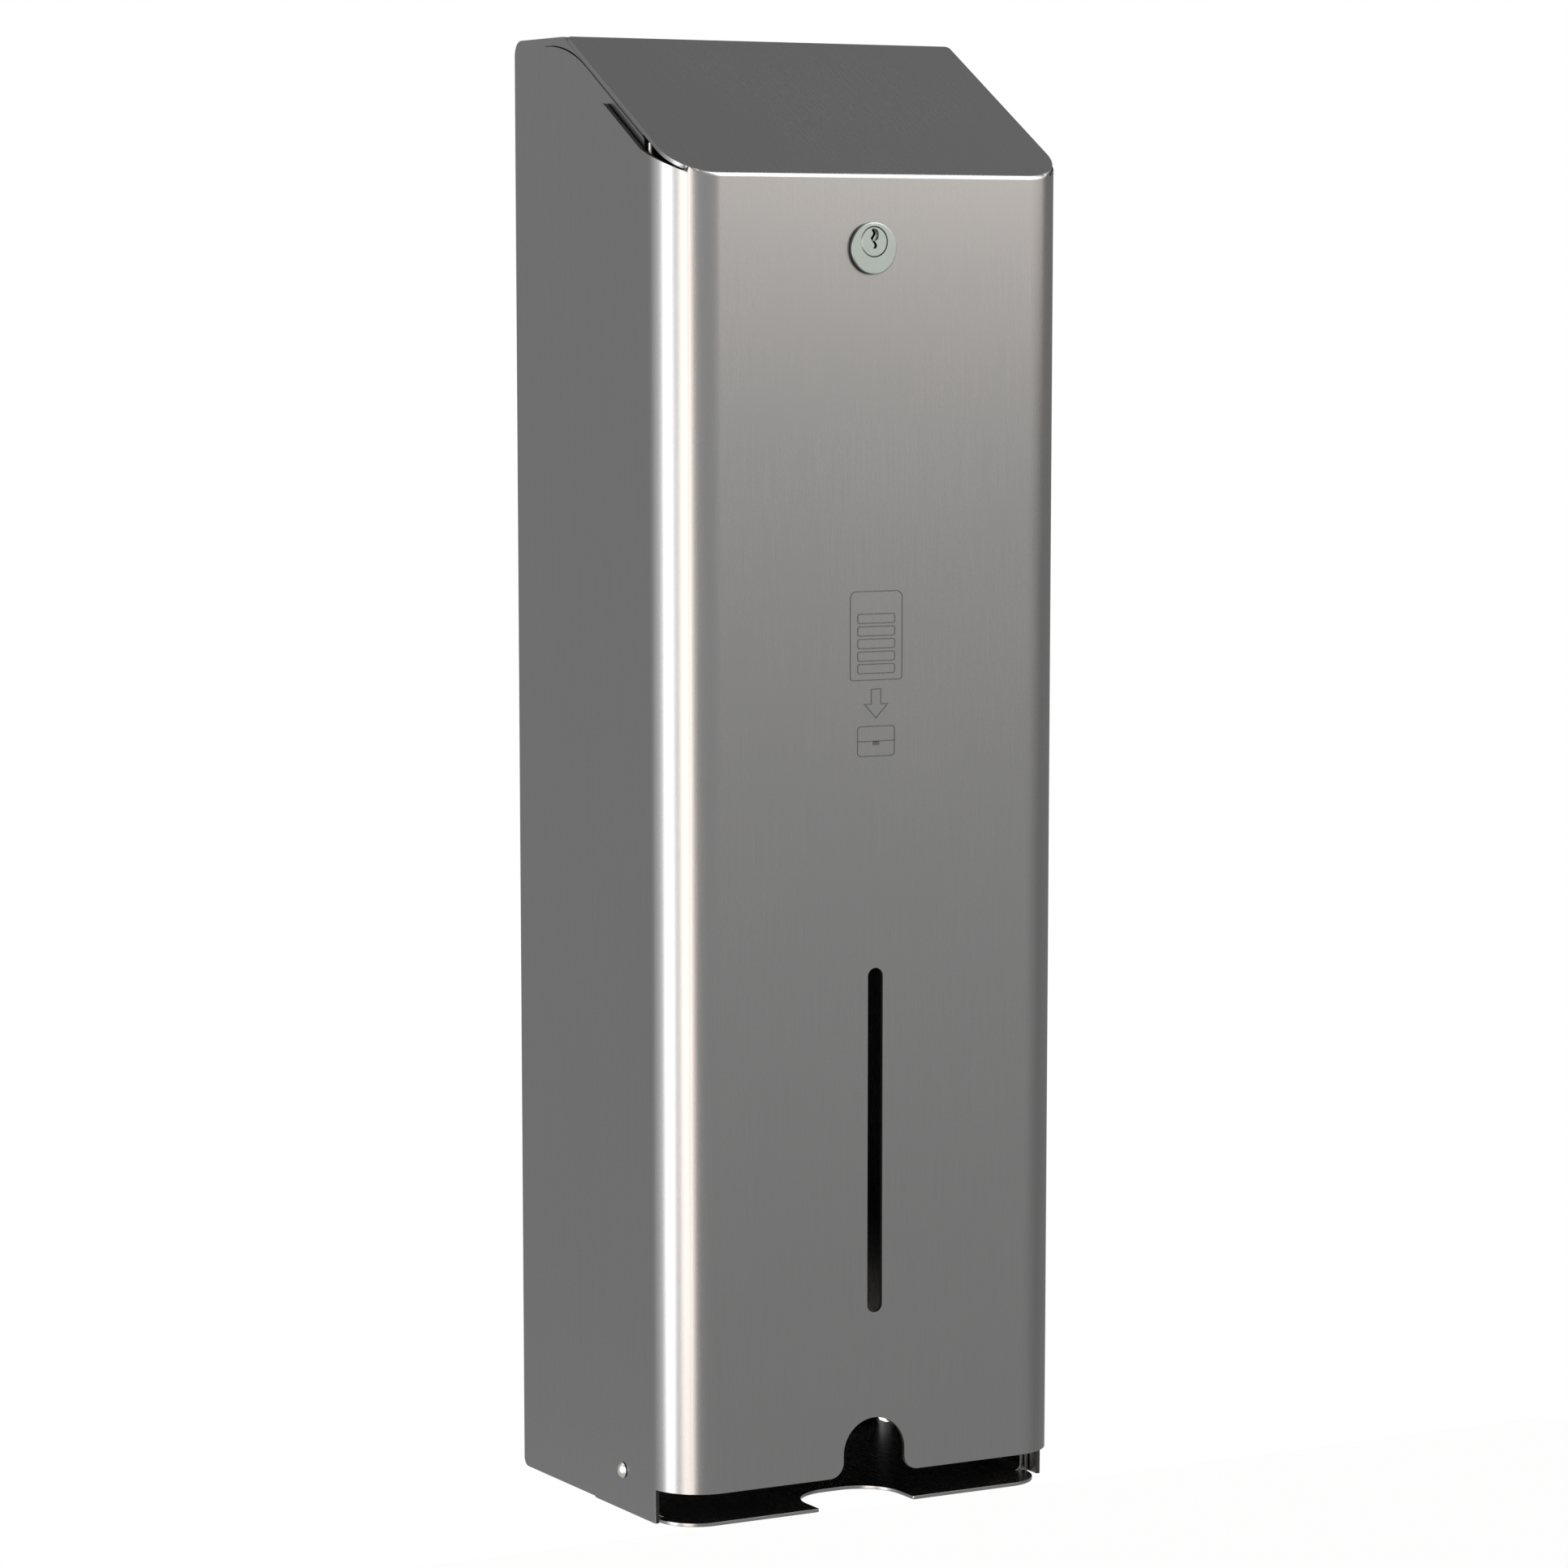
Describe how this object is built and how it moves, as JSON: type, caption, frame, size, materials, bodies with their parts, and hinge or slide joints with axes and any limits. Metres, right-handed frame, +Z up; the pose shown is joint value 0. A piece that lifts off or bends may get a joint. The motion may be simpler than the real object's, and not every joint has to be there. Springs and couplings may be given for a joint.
{
  "type": "sanitary pad dispenser",
  "caption": "Wall-hung stainless steel dispenser for wrapped pads, with a tilting front cover, sloping lid, cam lock, sight slot and open tray mouth.",
  "frame": {"origin": "middle of the back panel's outer face, which lies flat on the wall", "axes": "+X to the right seen from the room, +Y into the wall, +Z up"},
  "size_m": [0.1534, 0.1176, 0.487],
  "materials": {
    "cover_steel": "vertically brushed stainless steel",
    "case_steel": "satin stainless steel",
    "lock_chrome": "satin chromed die-cast zinc",
    "zinc_plate": "bright zinc plated steel"
  },
  "bodies": {
    "case": {"back_panel": "case_steel", "side_plate_left": "case_steel", "side_plate_right": "case_steel", "bottom_tray": "case_steel", "strike_rail": "case_steel", "hinge_rivet_left": "zinc_plate", "hinge_rivet_right": "zinc_plate", "hinge_washer_left": "zinc_plate", "hinge_washer_right": "zinc_plate"},
    "cover": {"front_cover": "cover_steel", "lock_housing": "lock_chrome", "lock_nut": "zinc_plate", "lock_tooth_washer": "zinc_plate"},
    "lock": {"lock_plug": "lock_chrome", "lock_cam": "zinc_plate", "cam_washer": "zinc_plate", "cam_screw": "zinc_plate"}
  },
  "joints": [
    {"name": "cover_hinge", "type": "hinge", "parent": "case", "child": "cover", "pos_m": [0, -0.078, -0.2293], "axis": [1, 0, 0], "range_deg": [0, 140]},
    {"name": "lock_turn", "type": "hinge", "parent": "cover", "child": "lock", "pos_m": [-0.002, -0.116, 0.1765], "axis": [0, -1, 0], "range_deg": [0, 90]}
  ]
}
